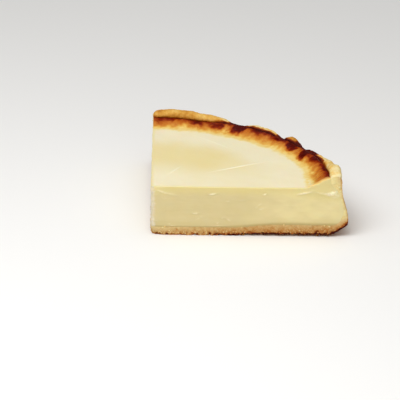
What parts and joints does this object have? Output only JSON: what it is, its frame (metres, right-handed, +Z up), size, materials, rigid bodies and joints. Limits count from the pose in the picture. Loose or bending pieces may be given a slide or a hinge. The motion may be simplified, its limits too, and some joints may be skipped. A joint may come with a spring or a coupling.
{
  "type": "baked cheesecake slice",
  "caption": "Quarter of a round baked cheesecake: pale set custard with a browned, puffed edge in a shortcrust case with an uneven rim.",
  "frame": {"origin": "middle of the footprint's bounding box, on the surface that the slice rests on", "axes": "+Z up out of the top of the cake; one cut face runs along +X and faces -Y, the other cut face runs along +Y and faces -X, and the curved pastry side faces +X and +Y"},
  "size_m": [0.133, 0.13, 0.0457],
  "materials": {
    "shortcrust": "matt, crumbly baked pastry",
    "cheese_custard": "satin set custard, browned at the edge"
  },
  "bodies": {
    "root": {"pastry_case": "shortcrust", "cheese_filling": "cheese_custard"}
  },
  "joints": []
}
